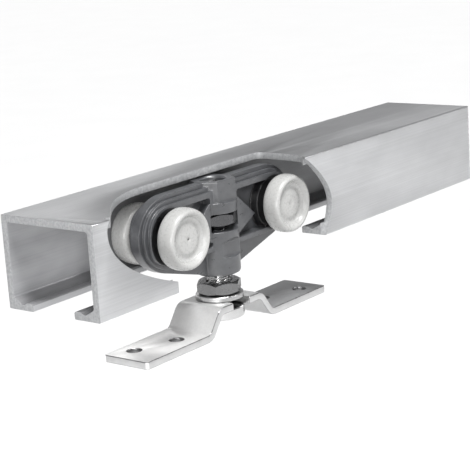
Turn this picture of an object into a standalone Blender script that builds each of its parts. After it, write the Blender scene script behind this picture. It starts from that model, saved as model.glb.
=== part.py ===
"""Top-hung sliding door running gear: a cut length of track, a four-wheel trolley and its hanger plate.

The frame: +X along the track, +Y from its cut-away front wall to its back wall, +Z up.
The origin is on the track's top face, halfway between its walls and halfway along its uncut stretch.
"""

import math

import bmesh
import bpy
from mathutils import Matrix, Vector
from mathutils.geometry import interpolate_bezier

MM = 0.001
GAP = 0.3 * MM  # between pieces that touch

# Track: an aluminium channel with a slot between two running lips
TRACK_LENGTH = 266 * MM
TRACK_WIDTH = 46 * MM
TRACK_HEIGHT = 36 * MM
TRACK_WALL = 2.8 * MM
LIP_WIDTH = 12.6 * MM
LIP_BEAD_TOP = 3.0 * MM
LIP_BEAD_ROOT = 9.2 * MM
LIP_VALLEY_TOP = 2.2 * MM
LIP_VALLEY = (6.9 * MM, 7.9 * MM)
LIP_FOOT_TOP = 4.5 * MM
ORIGIN_FROM_END = 200 * MM  # the origin's distance from the near end, over the uncut stretch

# Cut-away window in the track's front and top walls, measured from the track's near end
WINDOW_LEFT = 7.4 * MM
WINDOW_TOP_LEFT = 9.0 * MM
WINDOW_TOP_RIGHT = 124.6 * MM
WINDOW_RIGHT = 147.0 * MM
WINDOW_DEPTH = 28.0 * MM
WINDOW_TOP_END = 132.7 * MM
LIP_CUT = (43.5 * MM, 141.5 * MM)

# Trolley
TROLLEY_FROM_END = 95.4 * MM
AXLE_SPACING = 68 * MM
AXLE_HEIGHT = 15.8 * MM
AXLE_RADIUS = 3.0 * MM
WHEEL_RADIUS = 12.5 * MM
WHEEL_OFFSET = 12.0 * MM  # wheel's middle from the trolley's middle plane

# Trolley body: a moulded canoe with a stepped hood, a web, two hub discs and a boss for the bolt
BODY_TOP = 31.2 * MM
BODY_END = 15.4 * MM  # rim beyond the axle
KEEL = (10.5 * MM, -5.7 * MM)
KEEL_END = (36.0 * MM, 1.3 * MM)
RIM_HALF_WIDTH = 2.2 * MM
HOOD_STEPS = ((1.6 * MM, 3.9 * MM), (3.2 * MM, 5.6 * MM))  # inset, half-width
HOOD_BOTTOM = 4.0 * MM
POCKET_BOTTOM = 5.8 * MM
RIM_THICKNESS = 5.7 * MM
WEB_HALF_WIDTH = 1.0 * MM
HUB_DISC = (11.0 * MM, 4.6 * MM)  # radius, half-width
HUB_COLLAR = (4.5 * MM, 7.9 * MM)
BOSS_RADIUS = 9.6 * MM
BOSS_TOP = 31.5 * MM
BOSS_BOTTOM = -7.1 * MM
BLOCK_BOTTOM = 23.4 * MM
BLOCK_FRONT = (5.8 * MM, 7.4 * MM)  # half-width of the front flat, its distance from the axis
BLOCK_SIDE = (9.0 * MM, 1.7 * MM)
GUSSET_TIP = (20.6 * MM, 13.8 * MM)
GUSSET_HEIGHTS = (7.7 * MM, 23.6 * MM)
GUSSET_HALF_WIDTH = 5.2 * MM
FLAT_DEPTH = 7.7 * MM  # of the flats low on the boss, from its axis
FLAT_HEIGHTS = (0.7 * MM, 6.7 * MM)
NUT_POCKET_HALF = 8.8 * MM
NUT_POCKET_HEIGHTS = (11.4 * MM, 18.9 * MM)

# Ball bearing in each wheel, seated in the tyre and on the axle
RACE_OUTER_RADIUS = 8.0 * MM
RACE_INNER_RADIUS = AXLE_RADIUS + GAP
RACE_HALF_WIDTH = 2.5 * MM
RACE_SHOULDERS = (4.9 * MM, 6.6 * MM)
BEARING_OFFSET = -1.3 * MM  # from the wheel's middle, towards the body
BALL_RADIUS = 1.2 * MM
BALL_PITCH_RADIUS = 5.75 * MM
BALL_COUNT = 6
CAGE_HALF_THICKNESS = 0.3 * MM
CAGE_HALF_WIDTH = 1.7 * MM
AXLE_HALF_LENGTH = 13.3 * MM

# The tyre's section and the dished cap inside it: radius, distance outwards from the wheel's middle
TYRE_INNER_SIDE = -4.3 * MM
TYRE_SHOULDERS = (
    (10.3 * MM, -4.3 * MM),
    (11.6 * MM, -3.8 * MM),
    (12.3 * MM, -2.6 * MM),
    (WHEEL_RADIUS, -1.0 * MM),
    (WHEEL_RADIUS, 0.8 * MM),
    (12.3 * MM, 2.2 * MM),
    (11.6 * MM, 3.4 * MM),
    (10.6 * MM, 4.1 * MM),
    (9.7 * MM, 3.3 * MM),
)
CAP_RADIUS = 8.9 * MM
CAP_SEAT = 1.5 * MM
CAP_RIM = 2.3 * MM
CAP_DISC = (6.3 * MM, 2.9 * MM)  # radius, height of the raised centre
CAP_HOLLOW = (6.0 * MM, 2.1 * MM)

# Hanger bolt and what is stacked on it, as heights over the track's bottom
BOLT_RADIUS = 5.0 * MM
BORE_RADIUS = BOLT_RADIUS + GAP
BOLT_TOP = 30.9 * MM
BOLT_HEAD = (10.0 * MM, 4.5 * MM)  # radius, height
BOLT_SLOT = (1.6 * MM, 2.0 * MM)  # width, depth
SOCKET_FLATS = 8.0 * MM
SOCKET_DEPTH = 3.0 * MM
CAPTIVE_NUT = (17.0 * MM, 5.0 * MM)  # across flats, height
LOCK_NUT = (17.0 * MM, 5.0 * MM)
WASHER = (10.0 * MM, 2.0 * MM)  # radius, thickness
WASHER_BOTTOM = -17.6 * MM

# Hanger plate: a strip bent up into a platform with an open slot
PLATE_THICKNESS = 3.0 * MM
PLATE_WIDTH = 22.5 * MM
PLATE_HALF_LENGTH = 60.0 * MM
PLATE_RISE = 9.1 * MM
PLATFORM_HALF = 13.5 * MM
RAMP_RUN = 6.8 * MM
BEND_RADIUS = 4.5 * MM
PLATE_CORNER = 1.2 * MM
SLOT_RADIUS = BORE_RADIUS
SCREW_HOLE_RADIUS = 3.0 * MM
SCREW_HOLES = ((-50.5 * MM, 3.8 * MM), (-32.0 * MM, -2.4 * MM))  # repeated half a turn round

WHEEL_STEPS = 28
BEARING_STEPS = 20
CURVE_STEPS = 7

NEAR_END = -ORIGIN_FROM_END
MIDDLE_X = NEAR_END + TROLLEY_FROM_END
FLOOR_Z = -TRACK_HEIGHT  # the track's underside


def clear_scene():
    for old in list(bpy.data.objects):
        bpy.data.objects.remove(old, do_unlink=True)


def material(name, colour, roughness, metallic):
    """A plain finish for one kind of piece."""
    finish = bpy.data.materials.new(name)
    finish.use_nodes = True
    shader = finish.node_tree.nodes["Principled BSDF"]
    shader.inputs["Base Color"].default_value = (*colour, 1)
    shader.inputs["Roughness"].default_value = roughness
    shader.inputs["Metallic"].default_value = metallic
    return finish


def curve(start, handle_a, handle_b, end, steps=CURVE_STEPS):
    """Points along a smooth stretch of an outline, its first point left out."""
    corners = [Vector((*point, 0)) for point in (start, handle_a, handle_b, end)]
    return [tuple(point.xy) for point in interpolate_bezier(*corners, steps + 1)[1:]]


def add_object(name, work, finish=None, place=(0, 0, 0)):
    """An object from a bmesh drawn round its own origin."""
    bmesh.ops.recalc_face_normals(work, faces=work.faces)
    mesh = bpy.data.meshes.new(name)
    work.to_mesh(mesh)
    work.free()
    piece = bpy.data.objects.new(name, mesh)
    piece.location = place
    bpy.context.scene.collection.objects.link(piece)
    if finish:
        mesh.materials.append(finish)
        mesh.shade_smooth()
        mesh.set_sharp_from_angle(angle=math.radians(35))
    else:
        piece.hide_render = True
        piece.display_type = "WIRE"
    return piece


def prism(outline, axis, low, high):
    """A bmesh of a flat outline drawn in the plane across an axis, pulled from low to high along it."""
    order = {"X": lambda a, b, c: (c, a, b), "Y": lambda a, b, c: (a, c, b), "Z": lambda a, b, c: (a, b, c)}[axis]
    work = bmesh.new()
    base = work.faces.new([work.verts.new(order(a, b, low)) for a, b in outline])
    pulled = bmesh.ops.extrude_face_region(work, geom=[base])
    tops = [item for item in pulled["geom"] if isinstance(item, bmesh.types.BMVert)]
    bmesh.ops.translate(work, verts=tops, vec=Vector(order(0, 0, high - low)))
    return work


def turned(profile, axis, steps):
    """A bmesh of a closed (radius, height) profile turned round an axis through the origin."""
    spin_axis = Vector((0, 1, 0)) if axis == "Y" else Vector((0, 0, 1))
    work = bmesh.new()
    if axis == "Y":
        ring = [work.verts.new((radius, height, 0)) for radius, height in profile]
    else:
        ring = [work.verts.new((radius, 0, height)) for radius, height in profile]
    edges = [work.edges.new((a, b)) for a, b in zip(ring, ring[1:] + ring[:1]) if a.co.x > 0 or b.co.x > 0]
    bmesh.ops.spin(
        work, geom=ring + edges, axis=spin_axis, cent=(0, 0, 0), angle=2 * math.pi, steps=steps, use_merge=True
    )
    bmesh.ops.remove_doubles(work, verts=work.verts, dist=0.01 * MM)
    return work


def box(low, high):
    """A bmesh of a box between two corners."""
    work = bmesh.new()
    size = [b - a for a, b in zip(low, high)]
    middle = [(a + b) / 2 for a, b in zip(low, high)]
    bmesh.ops.create_cube(work, size=1, matrix=Matrix.Translation(middle) @ Matrix.Diagonal((*size, 1)))
    return work


def rod(radius, low, high, axis, steps=WHEEL_STEPS):
    """A bmesh of a plain cylinder along an axis."""
    return turned([(0, low), (radius, low), (radius, high), (0, high)], axis, steps)


def hexagon(flats):
    """The corners of a hexagon with two corners on Y."""
    radius = flats / math.sqrt(3)
    angles = [math.pi / 6 + k * math.pi / 3 for k in range(6)]
    return [(radius * math.cos(angle), radius * math.sin(angle)) for angle in angles]


def combine(piece, other, operation, solver="EXACT"):
    """Join, cut or keep what is shared, by a Boolean that stays on the piece."""
    step = piece.modifiers.new(other.name, "BOOLEAN")
    step.operation = operation
    step.solver = solver
    step.object = other


def track_section():
    """Half the channel's section: distance in from the outer wall, height over the underside."""
    return [
        (0, TRACK_HEIGHT),
        (0, 0),
        (LIP_WIDTH, 0),
        (LIP_WIDTH, LIP_BEAD_TOP - 0.6 * MM),
        (LIP_WIDTH - 0.6 * MM, LIP_BEAD_TOP),
        (LIP_BEAD_ROOT, LIP_BEAD_TOP),
        (LIP_VALLEY[1], LIP_VALLEY_TOP),
        (LIP_VALLEY[0], LIP_VALLEY_TOP),
        (TRACK_WALL, LIP_FOOT_TOP),
        (TRACK_WALL, TRACK_HEIGHT - TRACK_WALL),
    ]


def front_window():
    """The window as the front wall shows it: distance from the near end, height over the underside."""
    over = TRACK_HEIGHT + 1 * MM
    under = -1 * MM
    left_low = (LIP_CUT[0], 3.9 * MM)
    left_high = (WINDOW_LEFT, 31 * MM)
    right_high = (WINDOW_RIGHT, 14.5 * MM)
    points = [(WINDOW_TOP_LEFT, over), (WINDOW_TOP_LEFT, TRACK_HEIGHT)]
    points += curve(points[-1], (8.4 * MM, 34.5 * MM), (WINDOW_LEFT, 33 * MM), left_high, 3)
    points += curve(left_high, (WINDOW_LEFT, 20 * MM), (22 * MM, 11.5 * MM), left_low)
    points += [(LIP_CUT[0], under), (LIP_CUT[1], under), (LIP_CUT[1], 0)]
    points += curve(points[-1], (143.5 * MM, 4 * MM), (WINDOW_RIGHT, 9 * MM), right_high, 4)
    points += curve(right_high, (WINDOW_RIGHT, 22 * MM), (138 * MM, 30.5 * MM), (WINDOW_TOP_RIGHT, TRACK_HEIGHT))
    return points + [(WINDOW_TOP_RIGHT, over)]


def top_window():
    """The window as the top wall shows it: distance from the near end, distance in from the front."""
    front = -1 * MM
    depth = WINDOW_DEPTH
    right = WINDOW_TOP_END
    points = [(WINDOW_TOP_LEFT, front), (WINDOW_TOP_LEFT, 0)]
    points += curve(points[-1], (21 * MM, 9.5 * MM), (36 * MM, depth), (58 * MM, depth))
    points += [(right - 4 * MM, depth)]
    points += curve(points[-1], (right - 1.2 * MM, depth), (right, depth - 1.5 * MM), (right, depth - 5 * MM), 4)
    points += curve(points[-1], (right, 14 * MM), (130 * MM, 7.5 * MM), (WINDOW_TOP_RIGHT, 0), 6)
    return points + [(WINDOW_TOP_RIGHT, front)]


def make_track(finish):
    half = track_section()
    face = -TRACK_WIDTH / 2
    front = [(face + depth, FLOOR_Z + height) for depth, height in half]
    back = [(-y, z) for y, z in reversed(front)]
    track = add_object("track", prism(front + back, "X", NEAR_END, NEAR_END + TRACK_LENGTH), finish)
    outline = [(NEAR_END + x, FLOOR_Z + z) for x, z in front_window()]
    cutters = [add_object("front_window_cut", prism(outline, "Y", face - 1 * MM, face + TRACK_WALL))]
    outline = [(NEAR_END + x, face + y) for x, y in top_window()]
    cutters.append(add_object("top_window_cut", prism(outline, "Z", -TRACK_WALL, 1 * MM)))
    lip_low = (NEAR_END + LIP_CUT[0], face - 1 * MM, FLOOR_Z - 1 * MM)
    lip_high = (NEAR_END + LIP_CUT[1], face + LIP_WIDTH + 1 * MM, FLOOR_Z + LIP_FOOT_TOP + 0.5 * MM)
    cutters.append(add_object("lip_cut", box(lip_low, lip_high)))
    for cutter in cutters:
        combine(track, cutter, "DIFFERENCE")


def upper_arc(inset):
    """The right half of the body's outline from its end up to its flat top, drawn in by an inset."""
    axle = AXLE_SPACING / 2
    end = axle + BODY_END - inset
    top = BODY_TOP - inset
    return curve((end, AXLE_HEIGHT), (end, 25.5 * MM), (axle + 7 * MM, top), (axle - 3 * MM, top))


def lower_arc(inset):
    """The right half of the body's outline from under its axle out to its end, drawn in by an inset."""
    end = AXLE_SPACING / 2 + BODY_END - inset
    start = (KEEL_END[0], KEEL_END[1] + inset)
    return [start] + curve(start, (KEEL_END[0] + 5 * MM, start[1] + 1.4 * MM), (end, 8 * MM), (end, AXLE_HEIGHT))


def mirrored(right):
    """A closed outline from its right half, listed from bottom to top."""
    return right + [(-x, z) for x, z in reversed(right)]


def canoe():
    """The body's middle outline: distance from the bolt's axis, height over the underside."""
    return mirrored([KEEL] + lower_arc(0) + upper_arc(0))


def hood(inset):
    """The outline of one step of the hood that wraps round the wheels, with a ledge as its floor."""
    tuck = (AXLE_SPACING / 2 - 6 * MM, HOOD_BOTTOM)
    return mirrored([tuck] + lower_arc(inset) + upper_arc(inset))


def pocket(side):
    """The recess between the rim and the boss on one side of the body."""
    axle = AXLE_SPACING / 2
    top = BODY_TOP - RIM_THICKNESS
    end = axle + BODY_END - RIM_THICKNESS
    near = BOSS_RADIUS - 1 * MM
    points = [(near, POCKET_BOTTOM), (axle, POCKET_BOTTOM + 0.6 * MM)]
    points += curve(points[-1], (axle + 5 * MM, 7 * MM), (end, 11 * MM), (end, AXLE_HEIGHT), 5)
    points += curve(points[-1], (end, 22 * MM), (axle + 5 * MM, top), (axle - 2 * MM, top), 5)
    points += [(near, top)]
    return [(side * x, z) for x, z in points]


def shifted(outline):
    """An outline of the body, moved from the bolt's axis and the track's underside to its place."""
    return [(MIDDLE_X + x, FLOOR_Z + z) for x, z in outline]


def body_additions():
    """Solids that join the rim: hub discs, collars, boss, block and gusset."""
    solids = []
    for side in (-1, 1):
        centre = (MIDDLE_X + side * AXLE_SPACING / 2, 0, FLOOR_Z + AXLE_HEIGHT)
        for radius, half_width in (HUB_DISC, HUB_COLLAR):
            hub = rod(radius, -half_width, half_width, "Y", BEARING_STEPS)
            solids.append(add_object("hub", hub, place=centre))
    axis = (MIDDLE_X, 0, FLOOR_Z)
    soft = 1.0 * MM
    profile = [(0, BOSS_BOTTOM), (BOSS_RADIUS - soft, BOSS_BOTTOM), (BOSS_RADIUS, BOSS_BOTTOM + soft)]
    profile += [(BOSS_RADIUS, BLOCK_BOTTOM), (0, BLOCK_BOTTOM)]
    solids.append(add_object("boss", turned(profile, "Z", WHEEL_STEPS), place=axis))
    right = [(BLOCK_FRONT[0], -BLOCK_FRONT[1]), (BLOCK_SIDE[0], -BLOCK_SIDE[1])]
    right += [(x, -y) for x, y in reversed(right)]
    solids.append(add_object("block", prism(mirrored(right), "Z", BLOCK_BOTTOM - soft, BOSS_TOP), place=axis))
    near = BOSS_RADIUS - 0.5 * MM
    kite = mirrored([(near, GUSSET_HEIGHTS[0]), GUSSET_TIP, (near, GUSSET_HEIGHTS[1])])
    gusset = prism(kite, "Y", -GUSSET_HALF_WIDTH, GUSSET_HALF_WIDTH)
    solids.append(add_object("gusset", gusset, place=axis))
    return solids


def body_cutters():
    """The bolt's bore, the nut's pocket, the flats low on the boss and the axles' bores."""
    axis = (MIDDLE_X, 0, FLOOR_Z)
    clear = 1 * MM
    bore = rod(BORE_RADIUS, BOSS_BOTTOM - clear, BOSS_TOP + clear, "Z")
    cutters = [add_object("bolt_bore", bore, place=axis)]
    low = (-NUT_POCKET_HALF, -BOSS_RADIUS - clear, NUT_POCKET_HEIGHTS[0])
    high = (NUT_POCKET_HALF, BOSS_RADIUS + clear, NUT_POCKET_HEIGHTS[1])
    cutters.append(add_object("nut_pocket", box(low, high), place=axis))
    outside = BOSS_RADIUS + clear
    bevelled = FLAT_HEIGHTS[1] + outside - FLAT_DEPTH
    for face in (-1, 1):
        side = [(FLAT_DEPTH, FLAT_HEIGHTS[0]), (outside, FLAT_HEIGHTS[0]), (outside, bevelled)]
        side.append((FLAT_DEPTH, FLAT_HEIGHTS[1]))
        outline = [(face * y, z) for y, z in side]
        cutters.append(add_object("boss_flat", prism(outline, "X", -outside, outside), place=axis))
        centre = (MIDDLE_X + face * AXLE_SPACING / 2, 0, FLOOR_Z + AXLE_HEIGHT)
        hole = rod(AXLE_RADIUS + GAP, -outside, outside, "Y", BEARING_STEPS)
        cutters.append(add_object("axle_bore", hole, place=centre))
    return cutters


def make_body(finish):
    """The moulded body, from its canoe and hood, less its pockets, plus its boss and hubs."""
    body = add_object("trolley_body", prism(shifted(canoe()), "Y", -RIM_HALF_WIDTH, RIM_HALF_WIDTH), finish)
    for inset, half_width in HOOD_STEPS:
        step = add_object("hood_step", prism(shifted(hood(inset)), "Y", -half_width, half_width))
        combine(body, step, "UNION", "MANIFOLD")
    for side in (-1, 1):
        for face in (-1, 1):
            low, high = sorted((face * WEB_HALF_WIDTH, face * BOSS_RADIUS))
            recess = add_object("pocket", prism(shifted(pocket(side)), "Y", low, high))
            combine(body, recess, "DIFFERENCE", "MANIFOLD")
    for solid in body_additions():
        combine(body, solid, "UNION", "MANIFOLD")
    for cutter in body_cutters():
        combine(body, cutter, "DIFFERENCE", "MANIFOLD")


def tyre_profile():
    """A round-shouldered nylon wheel: radius, distance from its middle towards its outer side."""
    seat = RACE_OUTER_RADIUS + GAP
    bore = CAP_RADIUS + GAP
    profile = [(seat, TYRE_INNER_SIDE), *TYRE_SHOULDERS]
    return profile + [(bore, CAP_RIM + 0.1 * MM), (bore, CAP_SEAT), (seat, CAP_SEAT)]


def cap_profile():
    """The dished cap that closes the wheel: a flat ring round a raised centre."""
    low = CAP_SEAT + GAP
    disc_radius, disc_top = CAP_DISC
    hollow_radius, hollow_top = CAP_HOLLOW
    profile = [(0, hollow_top), (hollow_radius, hollow_top), (hollow_radius + 0.3 * MM, low), (CAP_RADIUS, low)]
    profile += [(CAP_RADIUS, CAP_RIM), (disc_radius + 0.3 * MM, CAP_RIM), (disc_radius, disc_top - 0.3 * MM)]
    return profile + [(disc_radius - 0.4 * MM, disc_top), (0.9 * MM, disc_top), (0, disc_top - 0.4 * MM)]


def race_profiles():
    """The outer and inner race, each with a round groove for the balls."""
    groove = []
    for k in range(5):
        angle = math.radians(-50 + 25 * k)
        groove.append((1.5 * MM * math.cos(angle), 1.5 * MM * math.sin(angle)))
    width = RACE_HALF_WIDTH
    outer = [(RACE_OUTER_RADIUS, width), (RACE_OUTER_RADIUS, -width), (RACE_SHOULDERS[1], -width)]
    outer += [(BALL_PITCH_RADIUS + reach, height) for reach, height in groove]
    outer += [(RACE_SHOULDERS[1], width)]
    inner = [(RACE_INNER_RADIUS, -width), (RACE_INNER_RADIUS, width), (RACE_SHOULDERS[0], width)]
    inner += [(BALL_PITCH_RADIUS - reach, height) for reach, height in reversed(groove)]
    inner += [(RACE_SHOULDERS[0], -width)]
    return outer, inner


def make_balls(name, centre, finish):
    """Balls held in a ribbon cage."""
    ring = [
        (BALL_PITCH_RADIUS - CAGE_HALF_THICKNESS, -CAGE_HALF_WIDTH),
        (BALL_PITCH_RADIUS + CAGE_HALF_THICKNESS, -CAGE_HALF_WIDTH),
        (BALL_PITCH_RADIUS + CAGE_HALF_THICKNESS, CAGE_HALF_WIDTH),
        (BALL_PITCH_RADIUS - CAGE_HALF_THICKNESS, CAGE_HALF_WIDTH),
    ]
    cage = add_object(name, turned(ring, "Y", BEARING_STEPS), finish, centre)
    work = bmesh.new()
    for k in range(BALL_COUNT):
        angle = 2 * math.pi * k / BALL_COUNT
        spot = Vector((BALL_PITCH_RADIUS * math.cos(angle), 0, BALL_PITCH_RADIUS * math.sin(angle)))
        bmesh.ops.create_uvsphere(
            work, u_segments=8, v_segments=5, radius=BALL_RADIUS, matrix=Matrix.Translation(spot)
        )
    balls = add_object(name + "_balls", work, place=centre)
    combine(cage, balls, "UNION")


def make_wheel(corner, centre, outward, finishes):
    """One wheel with its bearing and cap; outward is -1 on the front and +1 on the back."""

    def flipped(profile):
        return [(radius, outward * height) for radius, height in profile]

    x, y, z = centre
    seat = (x, y + outward * BEARING_OFFSET, z)
    outer, inner = race_profiles()
    add_object("tyre_" + corner, turned(flipped(tyre_profile()), "Y", WHEEL_STEPS), finishes["nylon"], centre)
    add_object("outer_race_" + corner, turned(flipped(outer), "Y", BEARING_STEPS), finishes["bearing"], seat)
    add_object("inner_race_" + corner, turned(flipped(inner), "Y", BEARING_STEPS), finishes["bearing"], seat)
    make_balls("ball_cage_" + corner, seat, finishes["bearing"])
    add_object("cap_" + corner, turned(flipped(cap_profile()), "Y", BEARING_STEPS), finishes["nylon"], centre)


def make_axle(name, centre, finish):
    """A plain steel pin with chamfered ends."""
    end = AXLE_HALF_LENGTH
    chamfer = 0.4 * MM
    profile = [(0, -end), (AXLE_RADIUS - chamfer, -end), (AXLE_RADIUS, chamfer - end)]
    profile += [(radius, -height) for radius, height in reversed(profile)]
    add_object(name, turned(profile, "Y", BEARING_STEPS), finish, centre)


def make_bolt(finish):
    """The hanger bolt: a round head with a hexagon socket, a shank and a slotted end."""
    washer_top = WASHER_BOTTOM - GAP - PLATE_THICKNESS - GAP
    radius, height = BOLT_HEAD
    low = washer_top - height
    soft = 0.8 * MM
    profile = [(0, low), (radius - soft, low), (radius, low + soft), (radius, washer_top - soft)]
    profile += [(radius - soft, washer_top), (BOLT_RADIUS, washer_top), (BOLT_RADIUS, BOLT_TOP - soft)]
    profile += [(BOLT_RADIUS - soft, BOLT_TOP), (0, BOLT_TOP)]
    axis = (MIDDLE_X, 0, FLOOR_Z)
    bolt = add_object("hanger_bolt", turned(profile, "Z", WHEEL_STEPS), finish, axis)
    slot_width, slot_depth = BOLT_SLOT
    slot_low = (-radius, -slot_width / 2, BOLT_TOP - slot_depth)
    slot = add_object("bolt_slot", box(slot_low, (radius, slot_width / 2, BOLT_TOP + 1 * MM)), place=axis)
    socket = add_object("bolt_socket", prism(hexagon(SOCKET_FLATS), "Z", low - 1 * MM, low + SOCKET_DEPTH), place=axis)
    combine(bolt, slot, "DIFFERENCE")
    combine(bolt, socket, "DIFFERENCE")


def make_nut(name, size, low, finish):
    """A hexagon nut with chamfered corners, round the bolt."""
    flats, height = size
    high = low + height
    axis = (MIDDLE_X, 0, FLOOR_Z)
    nut = add_object(name, prism(hexagon(flats), "Z", low, high), finish, axis)
    corner = flats / math.sqrt(3) + 0.02 * MM
    flat = flats / 2 - 0.2 * MM
    drop = (corner - flat) * math.tan(math.radians(30))
    limit = [(0, low), (flat, low), (corner, low + drop), (corner, high - drop), (flat, high), (0, high)]
    combine(nut, add_object(name + "_chamfer", turned(limit, "Z", WHEEL_STEPS), place=axis), "INTERSECT")
    bore = rod(BORE_RADIUS, low - 1 * MM, high + 1 * MM, "Z")
    combine(nut, add_object(name + "_bore", bore, place=axis), "DIFFERENCE")


def make_washer(finish):
    radius, thickness = WASHER
    low = WASHER_BOTTOM
    high = low + thickness
    soft = 0.3 * MM
    profile = [(BORE_RADIUS, low), (radius - soft, low), (radius, low + soft), (radius, high - soft)]
    profile += [(radius - soft, high), (BORE_RADIUS, high)]
    add_object("washer", turned(profile, "Z", WHEEL_STEPS), finish, (MIDDLE_X, 0, FLOOR_Z))


def plate_side():
    """The bent strip seen from the front, from its underside's left end round to its top's."""
    rise_angle = math.atan2(PLATE_RISE, RAMP_RUN)
    setback = BEND_RADIUS * math.tan(rise_angle / 2)
    low = WASHER_BOTTOM - GAP - PLATE_THICKNESS / 2 - PLATE_RISE
    foot = Vector((PLATFORM_HALF + RAMP_RUN, low))
    shoulder = Vector((PLATFORM_HALF, low + PLATE_RISE))
    steps = 6
    middle = [(Vector((PLATE_HALF_LENGTH, low)), Vector((0, 1)))]
    foot_centre = foot + Vector((setback, BEND_RADIUS))
    shoulder_centre = shoulder - Vector((setback, BEND_RADIUS))
    for k in range(steps + 1):
        angle = rise_angle * k / steps
        away = Vector((-math.sin(angle), -math.cos(angle)))
        middle.append((foot_centre + away * BEND_RADIUS, -away))
    for k in range(steps + 1):
        angle = rise_angle * (1 - k / steps)
        away = Vector((math.sin(angle), math.cos(angle)))
        middle.append((shoulder_centre + away * BEND_RADIUS, away))
    middle += [(Vector((-spot.x, spot.y)), Vector((-normal.x, normal.y))) for spot, normal in reversed(middle)]
    half = PLATE_THICKNESS / 2
    top = [tuple(spot + normal * half) for spot, normal in middle]
    bottom = [tuple(spot - normal * half) for spot, normal in middle]
    return top + bottom[::-1]


def make_plate(finish):
    """The hanger plate with its open slot and its screw holes."""
    half = PLATE_WIDTH / 2
    work = prism(plate_side(), "Y", -half, half)
    tip = PLATE_HALF_LENGTH - 0.01 * MM
    ends = [
        edge
        for edge in work.edges
        if all(abs(v.co.x) > tip for v in edge.verts) and abs(edge.verts[0].co.z - edge.verts[1].co.z) > 1 * MM
    ]
    bmesh.ops.bevel(work, geom=ends, offset=PLATE_CORNER, segments=3, profile=0.5, affect="EDGES")
    axis = (MIDDLE_X, 0, FLOOR_Z)
    plate = add_object("hanger_plate", work, finish, axis)
    reach = (-40 * MM, -10 * MM)
    slot = []
    for k in range(13):
        angle = math.pi * k / 12
        slot.append((SLOT_RADIUS * math.cos(angle), SLOT_RADIUS * math.sin(angle)))
    slot = [(SLOT_RADIUS, -half - 1 * MM), *slot, (-SLOT_RADIUS, -half - 1 * MM)]
    combine(plate, add_object("plate_slot", prism(slot, "Z", *reach), place=axis), "DIFFERENCE")
    for x, y in SCREW_HOLES:
        for turn in (1, -1):
            place = (MIDDLE_X + turn * x, turn * y, FLOOR_Z)
            hole = add_object("screw_hole", rod(SCREW_HOLE_RADIUS, *reach, "Z", BEARING_STEPS), place=place)
            combine(plate, hole, "DIFFERENCE")


def main():
    clear_scene()
    finishes = {
        "aluminium": material("aluminium", (0.62, 0.63, 0.63), 0.38, 1.0),
        "plastic": material("grey_plastic", (0.17, 0.17, 0.18), 0.5, 0.0),
        "nylon": material("white_nylon", (0.80, 0.80, 0.78), 0.35, 0.0),
        "bearing": material("bearing_steel", (0.60, 0.60, 0.60), 0.2, 1.0),
        "plated": material("plated_steel", (0.72, 0.72, 0.71), 0.2, 1.0),
    }
    make_track(finishes["aluminium"])
    make_body(finishes["plastic"])
    captive_low = NUT_POCKET_HEIGHTS[1] - GAP - CAPTIVE_NUT[1]
    make_nut("captive_nut", CAPTIVE_NUT, captive_low, finishes["plated"])
    for side, x_name in ((-1, "left"), (1, "right")):
        x = MIDDLE_X + side * AXLE_SPACING / 2
        z = FLOOR_Z + AXLE_HEIGHT
        make_axle("axle_" + x_name, (x, 0, z), finishes["bearing"])
        for outward, y_name in ((-1, "front"), (1, "rear")):
            centre = (x, outward * WHEEL_OFFSET, z)
            make_wheel(y_name + "_" + x_name, centre, outward, finishes)
    make_bolt(finishes["plated"])
    make_nut("lock_nut", LOCK_NUT, WASHER_BOTTOM + WASHER[1] + GAP, finishes["plated"])
    make_washer(finishes["plated"])
    make_plate(finishes["plated"])


main()
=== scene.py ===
"""The looks of a cut-away sliding door track with its trolley and hanger plate, built round the CAD frame.

The frame: +X along the track, +Y from its cut-away front wall to its back wall, +Z up, in metres.
"""

import math

import bmesh
import bpy
from mathutils import Matrix, Vector
from mathutils.geometry import interpolate_bezier


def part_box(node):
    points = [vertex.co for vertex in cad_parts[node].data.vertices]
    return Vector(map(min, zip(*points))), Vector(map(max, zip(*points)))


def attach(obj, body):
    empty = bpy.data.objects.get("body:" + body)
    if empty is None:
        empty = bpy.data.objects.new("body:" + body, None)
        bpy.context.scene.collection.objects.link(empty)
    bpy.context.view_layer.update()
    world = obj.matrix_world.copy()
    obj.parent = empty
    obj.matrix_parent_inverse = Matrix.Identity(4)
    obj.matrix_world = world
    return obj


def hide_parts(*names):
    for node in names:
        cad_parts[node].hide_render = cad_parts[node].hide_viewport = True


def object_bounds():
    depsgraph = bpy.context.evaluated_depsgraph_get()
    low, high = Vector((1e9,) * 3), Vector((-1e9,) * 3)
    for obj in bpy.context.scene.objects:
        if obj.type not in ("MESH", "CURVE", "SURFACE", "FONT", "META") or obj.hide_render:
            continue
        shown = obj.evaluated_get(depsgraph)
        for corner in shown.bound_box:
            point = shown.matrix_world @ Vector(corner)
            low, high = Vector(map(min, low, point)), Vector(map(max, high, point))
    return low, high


MM = 0.001
WHEEL_CORNERS = ("front_left", "front_right", "rear_left", "rear_right")

# Camera: where it looks, from which side, and how it leans
CAMERA_TARGET = (-0.08175, 0.00815, -0.03352)
CAMERA_DISTANCE = 0.6372
CAMERA_AZIMUTH = math.radians(-51.32)
CAMERA_ELEVATION = math.radians(13.39)
CAMERA_ROLL = math.radians(-3.82)
CAMERA_LENS = 114.36

# Track section
WALL = 2.8 * MM
LIP_WIDTH = 12.6 * MM
LIP_OUTLINE = ((12.6, 2.4), (12.0, 3.0), (9.4, 3.0), (8.9, 2.7), (7.9, 2.2), (6.9, 2.2))  # in mm
LIP_FOOT_TOP = 4.5 * MM
CORNER_RADIUS = 0.5 * MM
INNER_RADIUS = 1.2 * MM
EDGE_BREAK = 0.16 * MM

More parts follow.
